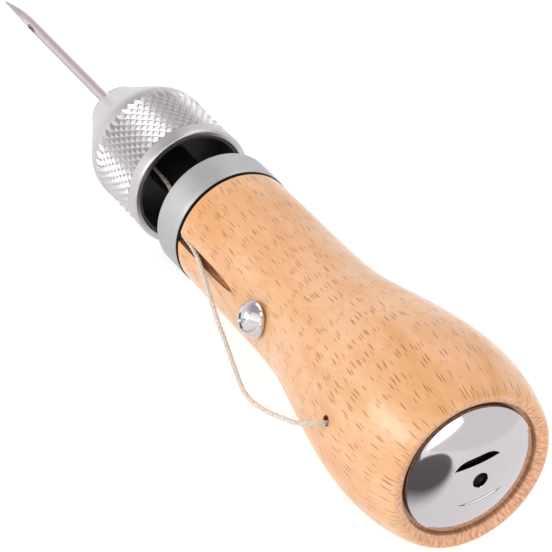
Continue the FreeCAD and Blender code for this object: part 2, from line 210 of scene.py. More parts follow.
def makeBeech():
    # steam-beech, turned, sanded and lacquered: warm even tone, short dark ray flecks along the
    # grain and a soft clear gloss; the end grain, redder and darker where it drinks the lacquer,
    # has its own material
    b = beech
    material, tree, shader = newMaterial("lacqueredBeech", Coat_Weight=b["coat"],
                                         Coat_Roughness=b["coatRoughness"])
    cloud = addNode(tree, "ShaderNodeTexNoise", {
        "Vector": stretched(tree, b["cloudLong"], b["cloudWide"]), "Scale": 1.0, "Detail": 3.0,
        "Roughness": 0.55})
    tone = addNode(tree, "ShaderNodeMapRange", {"Value": cloud.outputs["Fac"], "From Min": 0.3,
                   "From Max": 0.72}, interpolation_type="SMOOTHSTEP")
    base = addNode(tree, "ShaderNodeMix", {"Factor": tone.outputs["Result"],
                   6: colour(b["light"]), 7: colour(b["honey"])}, data_type="RGBA")
    # fine pores: faint streaks along the grain
    pores = addNode(tree, "ShaderNodeTexNoise", {
        "Vector": stretched(tree, b["poreLong"], b["poreWide"]), "Scale": 1.0, "Detail": 2.0})
    streak = addNode(tree, "ShaderNodeMapRange", {"Value": pores.outputs["Fac"], "From Min": 0.35,
                     "From Max": 0.75, "To Min": 0.0, "To Max": 0.42})
    veined = addNode(tree, "ShaderNodeMix", {"Factor": streak.outputs["Result"],
                     6: base.outputs[2], 7: colour(b["vein"])}, data_type="RGBA")
    # ray flecks: one short dash in most cells of a stretched Voronoi
    drift = addNode(tree, "ShaderNodeTexNoise", {"Vector": stretched(tree, 8, 3), "Scale": 1.0})
    place = wrapped(tree, b["fleckLong"], b["fleckWide"], b["radius"], b["lean"])
    wander = addNode(tree, "ShaderNodeVectorMath", {0: drift.outputs["Color"],
                     1: (0.35, 0.9, 0.0)}, operation="MULTIPLY")
    shifted = addNode(tree, "ShaderNodeVectorMath", {0: place, 1: wander.outputs[0]},
                      operation="ADD")
    cells = addNode(tree, "ShaderNodeTexVoronoi", {"Vector": shifted.outputs[0], "Scale": 1.0,
                    "Randomness": 0.92}, voronoi_dimensions="2D")
    pickSome = addNode(tree, "ShaderNodeSeparateColor", {"Color": cells.outputs["Color"]})
    reach = addNode(tree, "ShaderNodeMapRange", {"Value": pickSome.outputs["Red"], "From Min": 0.0,
                    "From Max": 1.0, "To Min": 0.04, "To Max": b["fleckReach"]})
    dash = addNode(tree, "ShaderNodeMath", {0: reach.outputs["Result"],
                   1: cells.outputs["Distance"]}, operation="SUBTRACT")
    dashEdge = addNode(tree, "ShaderNodeMapRange", {"Value": dash.outputs[0], "From Min": 0.0,
                       "From Max": 0.2, "To Min": 0.0, "To Max": 0.8},
                       interpolation_type="SMOOTHSTEP")
    flecked = addNode(tree, "ShaderNodeMix", {"Factor": dashEdge.outputs["Result"],
                      6: veined.outputs[2], 7: colour(b["fleck"])}, data_type="RGBA")
    tree.links.new(flecked.outputs[2], shader.inputs["Base Color"])
    rough = addNode(tree, "ShaderNodeMapRange", {"Value": cloud.outputs["Fac"], "From Min": 0.3,
                    "From Max": 0.7, "To Min": 0.34, "To Max": 0.48})
    tree.links.new(rough.outputs["Result"], shader.inputs["Roughness"])
    dent = addNode(tree, "ShaderNodeMath", {0: dashEdge.outputs["Result"], 1: -1.0},
                   operation="MULTIPLY")
    addBump(tree, shader, dent.outputs[0], 0.25, b["fleckDent"])
    return material


# the strokes' length and width in mm, and the tones of the hollows and the ridges
ends = {"strokeLong": 1.1, "strokeWide": 0.45, "dark": "#BE8059", "light": "#E4B58F"}


def makeEndGrain():
    # the sawn and sanded end of the handle: lacquer soaked into the end grain, so it is redder,
    # mottled by short strokes that run out from the middle
    material, tree, shader = newMaterial("lacqueredEndGrain", Roughness=0.42, Coat_Weight=0.3,
                                         Coat_Roughness=0.2)
    place = addNode(tree, "ShaderNodeTexCoord")
    split = addNode(tree, "ShaderNodeSeparateXYZ", {"Vector": place.outputs["Object"]})
    angle = addNode(tree, "ShaderNodeMath", {0: split.outputs["Z"], 1: split.outputs["Y"]},
                    operation="ARCTAN2")
    flat = addNode(tree, "ShaderNodeVectorMath", {0: place.outputs["Object"], 1: (0, 1, 1)},
                   operation="MULTIPLY")
    reach = addNode(tree, "ShaderNodeVectorMath", {0: flat.outputs[0]}, operation="LENGTH")
    out = addNode(tree, "ShaderNodeMath", {0: reach.outputs["Value"],
                  1: perMetre(ends["strokeLong"])}, operation="MULTIPLY")
    girth = addNode(tree, "ShaderNodeMath", {0: angle.outputs[0],
                    1: beech["radius"] / ends["strokeWide"]}, operation="MULTIPLY")
    spot = addNode(tree, "ShaderNodeCombineXYZ", {"X": out.outputs[0], "Y": girth.outputs[0]})
    speck = addNode(tree, "ShaderNodeTexNoise", {"Vector": spot.outputs["Vector"], "Scale": 1.0,
                    "Detail": 3.0, "Roughness": 0.6})
    addRamp(tree, shader, speck.outputs["Fac"], 0.36, ends["dark"], 0.64, ends["light"])
    addBump(tree, shader, speck.outputs["Fac"], 0.4, 0.05)
    return material


def makeDarkRecessWood():
    # the wood inside the groove and the holes: dark red-brown and dull
    material, tree, shader = newMaterial("darkGrooveHoleWood", Roughness=0.75)
    grain = addNode(tree, "ShaderNodeTexNoise", {"Vector": stretched(tree, 4, 0.4), "Scale": 1.0,
                    "Detail": 3.0})
    addRamp(tree, shader, grain.outputs["Fac"], 0.3, "#5A2C18", 0.7, "#A9683F")
    return material


def makeMetal(name, light, dark, roughness, spread, grainLong, grainWide, bumpDepth=0.0):
    # a metal whose tone and roughness follow the marks of the tool that finished it
    material, tree, shader = newMaterial(name, Metallic=1.0)
    marks = addNode(tree, "ShaderNodeTexNoise", {"Vector": stretched(tree, grainLong, grainWide),
                    "Scale": 1.0, "Detail": 4.0, "Roughness": 0.6})
    tint = addNode(tree, "ShaderNodeMix", {"Factor": marks.outputs["Fac"], 6: colour(light),
                   7: colour(dark)}, data_type="RGBA")
    tree.links.new(tint.outputs[2], shader.inputs["Base Color"])
    rough = addNode(tree, "ShaderNodeMapRange", {"Value": marks.outputs["Fac"], "From Min": 0.25,
                    "From Max": 0.75, "To Min": roughness - spread, "To Max": roughness + spread})
    tree.links.new(rough.outputs["Result"], shader.inputs["Roughness"])
    if bumpDepth:
        addBump(tree, shader, marks.outputs["Fac"], 0.5, bumpDepth)
    return material


def makeDull(name, light, dark, roughness, grain, bumpDepth):
    # a dull dark surface with a fine even texture; here it carries painted shade: the gap line, the
    # washer ring and the chuck's inside
    material, tree, shader = newMaterial(name, Roughness=roughness)
    mottle = addNode(tree, "ShaderNodeTexNoise", {"Vector": stretched(tree, grain, grain),
                     "Scale": 1.0, "Detail": 3.0})
    tint = addNode(tree, "ShaderNodeMix", {"Factor": mottle.outputs["Fac"], 6: colour(light),
                   7: colour(dark)}, data_type="RGBA")
    tree.links.new(tint.outputs[2], shader.inputs["Base Color"])
    addBump(tree, shader, mottle.outputs["Fac"], 0.4, bumpDepth)
    return material


def makeWaxedThread():
    # waxed linen thread: cream, darker in the hollows between its fibres, which is painted shade,
    # with a soft sheen
    material, tree, shader = newMaterial("waxedLinenThread", Roughness=0.55, Sheen_Weight=0.25,
                                         Sheen_Roughness=0.5)
    fibre = addNode(tree, "ShaderNodeTexNoise", {"Vector": stretched(tree, 0.5, 0.25), "Scale": 1.0,
                    "Detail": 3.0})
    # low noise values are both the dark tone and the bumps' hollows, so the hollows carry painted
    # shade
    addRamp(tree, shader, fibre.outputs["Fac"], 0.3, "#B5A08D", 0.65, "#DCD1C6")
    addBump(tree, shader, fibre.outputs["Fac"], 0.4, 0.05)
    return material


wood = makeBeech()
endGrain = makeEndGrain()
darkRecessWood = makeDarkRecessWood()
# name, two tones, roughness and its spread, length and width of the marks in mm, their depth in mm
collarSteel = makeMetal("satinZincSteel", "#BCBCBE", "#AFAFB2", 0.56, 0.05, 0.5, 2.5, 0.002)
aluminium = makeMetal("knurledAluminium", "#CCC8C9", "#B8B4B5", 0.34, 0.06, 0.4, 1.6, 0.002)
polished = makeMetal("polishedSteel", "#C6C2C4", "#BEBABD", 0.08, 0.02, 9, 9)
screwSteel = makeMetal("nickelPlatedScrew", "#D2CED0", "#C4C0C3", 0.17, 0.03, 2, 2)
needleSteel = makeMetal("groundNeedleSteel", "#DBD1D3", "#C0B5B7", 0.26, 0.06, 2.5, 0.25, 0.002)
colletSteel = makeMetal("turnedSteel", "#A9A9AC", "#8C8C90", 0.34, 0.06, 0.3, 2.0, 0.002)
bobbinSteel = makeMetal("stampedBobbinSteel", "#BDBDBD", "#A0A0A2", 0.28, 0.05, 3, 3)
brass = makeMetal("turnedBrass", "#D9B566", "#B98F45", 0.3, 0.05, 0.3, 2.0, 0.002)
# name, two tones, roughness, grain in mm, its depth in mm
# painted shade: a near-black line that stands in for the shadowed gap between the collar and the
# wood
paintedGapShade = makeDull("paintedGapShadeLine", "#0E0B09", "#070504", 0.8, 0.6, 0.002)
# painted shade: near black for the needle post and the front plate, where the chuck's inside lies
# in shade
chuckShadeSteel = makeDull("paintedChuckShadeSteel", "#1A1918", "#0C0C0C", 0.42, 0.6, 0.004)
# painted shade: dark grey-brown for the washer ring round the cap, standing for the shadow gap
# there, and for the chuck's shaded inside
paintedShadePlastic = makeDull("paintedShadeBlackPlastic", "#3A3433", "#2C2827", 0.5, 1.2, 0.003)
waxedThread = makeWaxedThread()
print("materials ready")


def finishPiece(piece, body, slotName, material, *nodes):
    if material:
        piece.data.materials.clear()
        piece.data.materials.append(material)
    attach(piece, body)
    if nodes:
        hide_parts(*nodes)


# Camera, lights and floor

view = {"place": (-0.44759, 0.32271, 0.28531), "forward": (0.70522, -0.53070, -0.47013),
        "roll": 13.5, "width": 36.0, "angle": 9.017}


def addCamera():
    camera = bpy.data.cameras.new("camera")
    camera.sensor_width = view["width"]
    camera.angle = math.radians(view["angle"])
    camera.clip_start = 0.01
    holder = bpy.data.objects.new("camera", camera)
    bpy.context.scene.collection.objects.link(holder)
    turn = Vector(view["forward"]).to_track_quat("-Z", "Y").to_matrix()
    spin = Matrix.Rotation(math.radians(view["roll"]), 3, "Z")
    holder.matrix_world = Matrix.Translation(view["place"]) @ (turn @ spin).to_4x4()
    bpy.context.scene.camera = holder


# size and gap in metres, the two points it rests on as place along the axis and radius in mm
floor = {"size": 4.0, "gap": 0.0002, "bulb": (-69.5, 17.53), "chuck": (20.0, 11.62)}


def addFloor():
    # the awl rests on its bulb and on its chuck, so the floor leans a little along it
    (x0, r0), (x1, r1) = floor["bulb"], floor["chuck"]
    tilt = math.atan2(r0 - r1, x1 - x0)
    startFresh()
    bpy.ops.mesh.primitive_plane_add(size=floor["size"], rotation=(0, -tilt, 0),
                                     location=(x0 * mm, 0, -r0 * mm - floor["gap"]))
    plane = bpy.context.object
    plane.name = "floor"
    material, _, shader = newMaterial("paleFloor", Roughness=0.7, Emission_Strength=0.82)
    shader.inputs["Base Color"].default_value = colour("#949494")
    shader.inputs["Emission Color"].default_value = colour("#FFFFFF")
    plane.data.materials.append(material)


lights = [
    # name, place, aim, long side, size along it, size across it, watts
    ("keySoftbox", (-0.80, 0.86, 0.78), (0, 0, 0), (1, 1, 0), 1.7, 1.15, 4.0),
    ("sideSoftbox", (0.16, 0.80, 0.22), (-0.06, 0, 0), (1, 0, 0), 0.55, 0.22, 2.2),
    ("topSoftbox", (0.25, -0.35, 1.0), (0, 0, 0), (1, 0, 0), 1.0, 0.7, 3.5),
    ("ridgeSoftbox", (-0.52, -0.055, 0.79), (-0.08, 0, 0), (0, 1, 0), 0.34, 0.30, 0.7),
    ("rearSoftbox", (-0.643, 0.038, 0.10), (-0.0825, 0.008, 0.005), (0.025, -0.288, 0.225),
     0.37, 0.085, 0.24),
]
sky = {"horizon": "#F4F2F2", "zenith": "#B0ACAD", "strength": 1.2}

cards = [
    # dark soft-edged cards for the polished metal to see: name, place, aim, long side, half sizes,
    # tone, whether it shades the lamps
    ("floorCard", (-0.180, 0.0155, -0.0165), (-0.180, 0.0155, 1), (1, 0, 0),
     (0.100, 0.0235), "#5F595C", False),
    ("rimCard", (-0.6020, 0.030, 0.1400), (-0.0825, 0.008, 0.005), (0.027, -0.2225, 0.143),
     (0.14, 0.015), "#1E1A1B", True),
]


def facing(place, aim, along):
    # the turn that points local -Z from place to aim, with local X along the long side
    back = (Vector(place) - Vector(aim)).normalized()
    along = Vector(along)
    along = (along - back * along.dot(back)).normalized()
    return Matrix((along, back.cross(along), back)).transposed().to_euler()


def makeCard(name, tone):
    # the card fades out towards its edges, so the patch it makes in a polished dome is soft
    material, tree, shader = newMaterial(name, Roughness=0.95)
    shader.inputs["Base Color"].default_value = colour(tone)
    place = addNode(tree, "ShaderNodeTexCoord")
    ball = addNode(tree, "ShaderNodeTexGradient", {"Vector": place.outputs["Object"]},
                   gradient_type="SPHERICAL")
    fade = addNode(tree, "ShaderNodeMapRange", {"Value": ball.outputs["Fac"], "From Min": 0.0,
                   "From Max": 0.2}, interpolation_type="SMOOTHSTEP")
    tree.links.new(fade.outputs["Result"], shader.inputs["Alpha"])
    return material


def addCards():
    for name, spot, aim, along, half, tone, shades in cards:
        startFresh()
        bpy.ops.mesh.primitive_plane_add(size=2, location=spot, rotation=facing(spot, aim, along))
        card = bpy.context.object
        card.name = name
        card.scale = (*half, 1)
        card.data.materials.append(makeCard(name, tone))
        card.visible_camera = False
        card.visible_diffuse = False
        card.visible_shadow = shades


def addLights():
    for name, place, aim, along, sizeX, sizeY, watts in lights:
        lamp = bpy.data.lights.new(name, "AREA")
        lamp.shape = "RECTANGLE"
        lamp.size = sizeX
        lamp.size_y = sizeY
        lamp.energy = watts
        holder = bpy.data.objects.new(name, lamp)
        holder.location = place
        holder.rotation_euler = facing(place, aim, along)
        bpy.context.scene.collection.objects.link(holder)
    world = bpy.data.worlds.new("studio")
    world.use_nodes = True
    bpy.context.scene.world = world
    tree = world.node_tree
    around = addNode(tree, "ShaderNodeTexCoord")
    split = addNode(tree, "ShaderNodeSeparateXYZ", {"Vector": around.outputs["Generated"]})
    up = addNode(tree, "ShaderNodeMapRange", {"Value": split.outputs["Z"], "From Min": 0.25,
                 "From Max": 0.85}, interpolation_type="SMOOTHSTEP")
    tone = addNode(tree, "ShaderNodeMix", {"Factor": up.outputs["Result"],
                   6: colour(sky["horizon"]), 7: colour(sky["zenith"])}, data_type="RGBA")
    back = tree.nodes["Background"]
    tree.links.new(tone.outputs[2], back.inputs["Color"])
    back.inputs["Strength"].default_value = sky["strength"]


addCamera()
addFloor()
addLights()
addCards()
bpy.context.scene.view_settings.view_transform = "Standard"
print("camera, floor and lights ready")


# Thread: three waxed plies twisted together

# in mm: radius of the thread and of one ply, and length of one full twist
thread = {"radius": 0.45, "ply": 0.28, "plies": 3, "twist": 3.4, "bevel": 2}
# control points in mm: bobbin to hole, the free loop, and the groove to the needle
feedRoute = [(-63.8, 7.35, 5.11), (-63.8, 10.9, 0), (-63.8, 17.4, 0)]
loopRoute = [(-63.8, 17.4, 0), (-63.8, 19.55, 0), (-62.5, 21.5, -0.4), (-59.3, 22.4, -1.3),
             (-53.6, 22.9, -3.0), (-46.6, 21.6, -4.8), (-38.6, 18.4, -5.7), (-31.2, 16.1, -5.3),
             (-25.0, 14.9, -3.8), (-19.5, 14.0, -1.6), (-13.5, 12.26, -0.64)]
leadRoute = [(-13.5, 12.26, -0.64), (-9.5, 11.1, 0), (-3.5, 10.45, 0), (3.4, 10.0, 0),
             (10.5, 3.5, 0), (22.0, 3.5, 0)]


def nurbsLine(route):
    # the smooth line through a route's control points
    curve = bpy.data.curves.new("line", "CURVE")
    curve.dimensions = "3D"
    curve.resolution_u = 24
    spline = curve.splines.new("NURBS")
    spline.points.add(len(route) - 1)
    for point, (x, y, z) in zip(spline.points, route):
        point.co = (x * mm, y * mm, z * mm, 1)
    spline.order_u = 3
    spline.use_endpoint_u = True
    holder = bpy.data.objects.new("line", curve)
    bpy.context.scene.collection.objects.link(holder)
    mesh = bpy.data.meshes.new_from_object(holder)
    line = [v.co.copy() for v in mesh.vertices]
    bpy.data.objects.remove(holder)
    bpy.data.meshes.remove(mesh)
    return line


def twistPlies(name, line, phase, side):
    # each ply is a round strand that winds round the line; side carries the frame along it
    ply = thread["ply"] * mm
    offset = (thread["radius"] - thread["ply"]) * mm
    curve = bpy.data.curves.new(name, "CURVE")
    curve.dimensions = "3D"
    curve.bevel_depth = ply
    curve.bevel_resolution = thread["bevel"]
    curve.use_fill_caps = True
    strands = []
    for _ in range(thread["plies"]):
        strand = curve.splines.new("POLY")
        strand.points.add(len(line) - 1)
        strands.append(strand)
    turned = phase
    for i, point in enumerate(line):
        ahead = (line[min(i + 1, len(line) - 1)] - line[max(i - 1, 0)]).normalized()
        side = (side - ahead * side.dot(ahead)).normalized()
        up = ahead.cross(side)
        if i:
            turned += (point - line[i - 1]).length / (thread["twist"] * mm) * math.tau
        for number, strand in enumerate(strands):
            angle = turned + number * math.tau / thread["plies"]
            place = point + (side * math.cos(angle) + up * math.sin(angle)) * offset
            strand.points[i].co = (*place, 1)
    piece = bpy.data.objects.new(name, curve)
    bpy.context.scene.collection.objects.link(piece)
    pick(piece)
    bpy.ops.object.convert(target="MESH")
    piece = bpy.context.object
    bpy.ops.object.shade_smooth()
    return piece, turned, side


def addThread():
    loopLine = nurbsLine(loopRoute)
    feed, phase, side = twistPlies("feedThread", nurbsLine(feedRoute), 0.0, Vector((1, 0, 0)))
    loop, phase, side = twistPlies("loopThread", loopLine, phase, side)
    lead, _, _ = twistPlies("leadThread", nurbsLine(leadRoute), phase, side)
    finishPiece(feed, "handle", "thread", waxedThread, "thread_feed")
    finishPiece(loop, "handle", "thread", waxedThread, "thread_loop")
    finishPiece(lead, "handle", "thread", waxedThread, "thread_lead")
    length = sum((b - a).length for a, b in zip(loopLine, loopLine[1:]))
    print("loop length", round(length, 4))


addThread()
print("thread ready")


# Turned wooden handle

handle = {"sides": 96,
          "swell": [(-79.2, 16.05), (-74.75, 17.05), (-69.5, 17.5), (-64.5, 17.37), (-59.0, 16.7),
                    (-51.8, 15.35), (-44.5, 13.65), (-40.2, 12.75), (-36.0, 12.15), (-31.0, 11.85),
                    (-26.3, 11.73), (-15.5, 11.7), (-9.0, 11.62)],
          "neck": (-3.55, 11.5), "tenon": 10.9, "front": 2.5, "bore": 3.02,
          "crest": (-82.23, 14.35), "worn": (-82.08, 14.8), "shoulder": (-81.0, 15.42),
          "lip": (-81.98, 13.9), "recess": 12.75, "dish": -81.35, "recessFloor": -79.9,
          "socket": 11.92, "socketFloor": -71.0, "chamber": 10.6, "chamberFloor": -48.5,
          "boreEnd": -28.5, "core": 0.5,
          "holeX": -63.8, "holeRise": 0.42, "holeRadius": 0.95,
          "grooveRear": (-22.0, 11.72), "grooveFront": (3.4, 8.97), "grooveRadius": 0.85,
          "grooveRun": 4,
          "gapEdge": -4.08, "gapFloor": 10.96}


def addHandle():
    h = handle
    nx, nr = h["neck"]
    # each crisp corner has a second ring close beside it, so the smoothing can't round it
    outline = [(h["chamberFloor"], h["core"]), (h["chamberFloor"], h["chamber"] - 0.15),
               (h["chamberFloor"], h["chamber"]), (h["chamberFloor"] - 0.15, h["chamber"]),
               (h["socketFloor"] + 0.1, h["chamber"]), (h["socketFloor"], h["chamber"]),
               (h["socketFloor"], h["chamber"] + 0.1), (h["socketFloor"], h["socket"] - 0.1),
               (h["socketFloor"], h["socket"]), (h["socketFloor"] - 0.1, h["socket"]),
               (h["recessFloor"] + 0.1, h["socket"]), (h["recessFloor"], h["socket"]),
               (h["recessFloor"], h["socket"] + 0.08), (h["recessFloor"], h["recess"] - 0.08),
               (h["recessFloor"], h["recess"]), (h["recessFloor"] - 0.1, h["recess"]),
               (h["dish"] + 0.15, h["recess"]), (h["dish"], h["recess"] + 0.05),
               (h["dish"] - 0.12, h["recess"] + 0.22), h["lip"], h["crest"], h["worn"],
               h["shoulder"]]
    outline += h["swell"]
    outline += [(h["gapEdge"] - 0.25, nr + 0.08), (h["gapEdge"] - 0.05, nr + 0.06),
                (h["gapEdge"], nr), (h["gapEdge"] + 0.06, h["gapFloor"] + 0.1),
                (h["gapEdge"] + 0.1, h["gapFloor"]), (nx, h["gapFloor"]), (nx, h["tenon"] + 0.05),
                (nx, h["tenon"]), (nx + 0.1, h["tenon"]), (h["front"] - 0.1, h["tenon"]),
                (h["front"], h["tenon"]), (h["front"], h["tenon"] - 0.1),
                (h["front"], h["bore"] + 0.1), (h["front"], h["bore"]),
                (h["front"] - 0.1, h["bore"]), (h["boreEnd"], h["bore"]),
                (h["boreEnd"] - 1, h["core"])]
    piece = turnPiece("turnedHandle", outline, h["sides"])
    pick(piece)
    bpy.ops.object.mode_set(mode="EDIT")
    bpy.ops.mesh.select_all(action="DESELECT")
    bpy.ops.mesh.select_non_manifold()
    bpy.ops.mesh.fill()
    bpy.ops.mesh.select_all(action="SELECT")
    bpy.ops.mesh.normals_make_consistent(inside=False)
    bpy.ops.object.mode_set(mode="OBJECT")
    applyModifier(piece, "SUBSURF", levels=2, render_levels=2)
    piece.data.materials.append(wood)
    piece.data.materials.append(paintedGapShade)
    piece.data.materials.append(endGrain)
    for face in piece.data.polygons:
        radius = math.hypot(face.center.y, face.center.z) / mm
        # the notch in front of the collar gets the painted gap shade
        if h["gapEdge"] - 0.02 < face.center.x / mm < nx + 0.1 and radius < nr + 0.01:
            face.material_index = 1
        if radius < h["crest"][1] and face.center.x / mm < h["chamberFloor"] + 0.5:
            face.material_index = 2
    # thread hole through the bulb's side
    startFresh()
    bpy.ops.mesh.primitive_cylinder_add(vertices=48, radius=h["holeRadius"] * mm, depth=10 * mm,
                                        location=(h["holeX"] * mm, 14 * mm, h["holeRise"] * mm),
                                        rotation=(math.pi / 2, 0, 0))
    hole = bpy.context.object
    settle(hole)
    cutWith(piece, hole, darkRecessWood)
    cutWith(piece, grooveCutter(), darkRecessWood)
    smooth(piece, 32)
    finishPiece(piece, "handle", "beech", None, "wooden_handle")


def grooveCutter():
    # a round-nosed slot that leans inwards towards the collar
    (x0, y0), (x1, y1) = handle["grooveRear"], handle["grooveFront"]
    radius = handle["grooveRadius"]
    slope = math.atan2(y0 - y1, x1 - x0)
    run = handle["grooveRun"]
    length = math.hypot(x1 - x0, y0 - y1) + run
    startFresh()
    bpy.ops.mesh.primitive_cylinder_add(vertices=48, radius=radius * mm, depth=length * mm,
                                        rotation=axisTurn)
    cutter = bpy.context.object
    settle(cutter)
    # the upper half is flattened and lifted, so the slot's walls are upright
    bpy.ops.object.mode_set(mode="EDIT")
    bpy.ops.mesh.select_all(action="DESELECT")
    bpy.ops.object.mode_set(mode="OBJECT")
    for vertex in cutter.data.vertices:
        if vertex.co.y > 1e-6:
            vertex.select = True
    bpy.ops.object.mode_set(mode="EDIT")
    bpy.ops.transform.resize(value=(1, 0, 1))
    bpy.ops.transform.translate(value=(0, run * mm, 0))
    bpy.ops.object.mode_set(mode="OBJECT")
    cutter.rotation_euler = (0, 0, -slope)
    cutter.location = ((x0 + x1 - run) / 2 * mm, ((y0 + y1) / 2 + radius + 0.1) * mm, 0)
    settle(cutter)
    return cutter


addHandle()
print("handle ready")


# Steel collar with a softly rounded front edge

collar = {"sides": 128, "radius": 11.75, "bore": 10.92, "half": 3.5, "edge": 0.5}


def addCollar():
    c = collar
    outline = [(-c["half"] + 0.02, c["bore"]), (-c["half"] + 0.02, c["radius"] - 0.12),
               (-c["half"] + 0.05, c["radius"] - 0.04), (-c["half"] + 0.14, c["radius"])]
    outline += [(x, c["radius"]) for x in (-2.0, 0.0, 2.0)]
    for step in range(7):
        angle = math.radians(90 - 15 * step)
        outline.append((c["half"] - c["edge"] + c["edge"] * math.cos(angle),
                        c["radius"] - c["edge"] + c["edge"] * math.sin(angle)))
    outline += [(c["half"], c["bore"] + 0.05), (c["half"] - 0.05, c["bore"]), (0, c["bore"])]
    piece = turnPiece("collarBand", outline, c["sides"], closed=True)
    piece.data.materials.append(collarSteel)
    piece.data.materials.append(paintedGapShade)
    # the collar's rear face, seen through the gap, gets the painted gap shade
    for face in piece.data.polygons:
        if face.center.x / mm < 0.03 - c["half"]:
            face.material_index = 1
    smooth(piece, 40)
    finishPiece(piece, "handle", "collar_steel", None, "front_collar")


addCollar()


# Chuck sleeve: smooth lip, diamond knurl, cone and rounded nose

sleeve = {"sides": 96, "radius": 11.6, "bore": 10.52, "rear": 11.8, "lip": 0.35,
          "knurlStart": 14.7, "knurlEnd": 27.2, "knurlRows": 12, "knurlDepth": 0.40,
          "cone": 28.8, "slope": 0.543, "noseStart": 40.2, "noseFront": 41.6, "noseBall": 2.2,
          "hole": 1.3, "inside": 37.62, "wall": 1.3, "notch": 2.2, "notchTurn": 41.5}


def addSleeve():
    s = sleeve
    noseR = s["radius"] - s["slope"] * (s["noseStart"] - s["cone"])
    innerCone = s["cone"] - s["wall"]
    outline = [(innerCone, s["bore"]), (s["rear"] + 0.1, s["bore"]), (s["rear"], s["bore"] + 0.1),
               (s["rear"], s["radius"] - s["lip"] - 0.1)]
    for step in range(5):
        angle = math.radians(180 - 22.5 * step)
        outline.append((s["rear"] + s["lip"] + s["lip"] * math.cos(angle),
                        s["radius"] - s["lip"] + s["lip"] * math.sin(angle)))
    outline += [(13.4, s["radius"]), (s["knurlStart"] - 0.25, s["radius"])]
    pitch = (s["knurlEnd"] - s["knurlStart"]) / s["knurlRows"]
    outline += [(s["knurlStart"] + pitch * i, s["radius"]) for i in range(s["knurlRows"] + 1)]
    outline += [(s["knurlEnd"] + 0.25, s["radius"] - 0.01), (s["cone"] - 0.9, s["radius"] - 0.03),
                (s["cone"] - 0.2, s["radius"] - 0.12), (s["cone"] + 0.6, s["radius"] - 0.42)]
    for x in (31.0, 34.0, 37.0, 39.2, s["noseStart"] - 0.2):
        outline.append((x, s["radius"] - s["slope"] * (x - s["cone"])))
    reach = s["noseFront"] - s["noseStart"]
    for step in range(1, 7):
        angle = math.radians(90 - 15 * step)
        outline.append((s["noseFront"] - reach + reach * math.cos(angle),
                        noseR - s["noseBall"] + s["noseBall"] * math.sin(angle)))
    outline += [(s["noseFront"], s["hole"] + 0.2), (s["noseFront"] - 0.2, s["hole"]),
                (s["inside"], s["hole"]),
                (s["inside"], s["bore"] - s["slope"] * (s["inside"] - innerCone))]
    piece = turnPiece("knurledSleeve", outline, s["sides"], closed=True)
    # every second vertex of each knurl row but the last goes in, which leaves small pyramids
    pick(piece)
    mesh = piece.data
    bpy.ops.object.mode_set(mode="EDIT")
    bpy.ops.mesh.select_mode(type="VERT")
    bpy.ops.mesh.select_all(action="DESELECT")
    bpy.ops.object.mode_set(mode="OBJECT")
    for vertex in mesh.vertices:
        x = vertex.co.x / mm
        radius = math.hypot(vertex.co.y, vertex.co.z) / mm
        row = (x - s["knurlStart"]) / pitch
        if radius > s["radius"] - 0.02 and -0.3 < row < s["knurlRows"] - 0.3:
            column = round(math.atan2(vertex.co.z, vertex.co.y) / math.tau * s["sides"])
            onRow = abs(row - round(row)) < 0.2
            vertex.select = onRow and (round(row) + column) % 2 == 1
    bpy.ops.object.mode_set(mode="EDIT")
    deep = 1 - s["knurlDepth"] / s["radius"]
    bpy.ops.transform.resize(value=(1, deep, deep), center_override=(0, 0, 0))
    bpy.ops.mesh.select_all(action="DESELECT")
    bpy.ops.object.mode_set(mode="OBJECT")
    for face in mesh.polygons:
        x = face.center.x / mm
        if math.hypot(face.center.y, face.center.z) / mm > s["radius"] - 0.4:
            face.select = s["knurlStart"] < x < s["knurlEnd"]
    bpy.ops.object.mode_set(mode="EDIT")
    bpy.ops.mesh.quads_convert_to_tris(quad_method="SHORTEST_DIAGONAL")
    bpy.ops.object.mode_set(mode="OBJECT")
    notch = bevelRounded("notch", s["noseFront"], 4.2, 0, 4.4, 8, s["notch"], 0.3)
    notch.rotation_euler = (math.radians(s["notchTurn"]), 0, 0)
    settle(notch)
    cutWith(piece, notch)
    smooth(piece, 24)
    finishPiece(piece, "chuck", "aluminium", aluminium, "chuck_sleeve")


addSleeve()
print("collar and chuck ready")


# Needle with a long groove, an eye and a lance point

needle = {"sides": 40, "radius": 1.0, "butt": 16.0, "tip": 86.5, "lean": 0.9,
          "bladeRear": 76.8, "wide": 80.0, "bladeRadius": 1.22, "flat": 0.7, "eye": 74.6,
          "grooveRadius": 0.33, "grooveLong": 45, "grooveAt": (53, 1.06)}


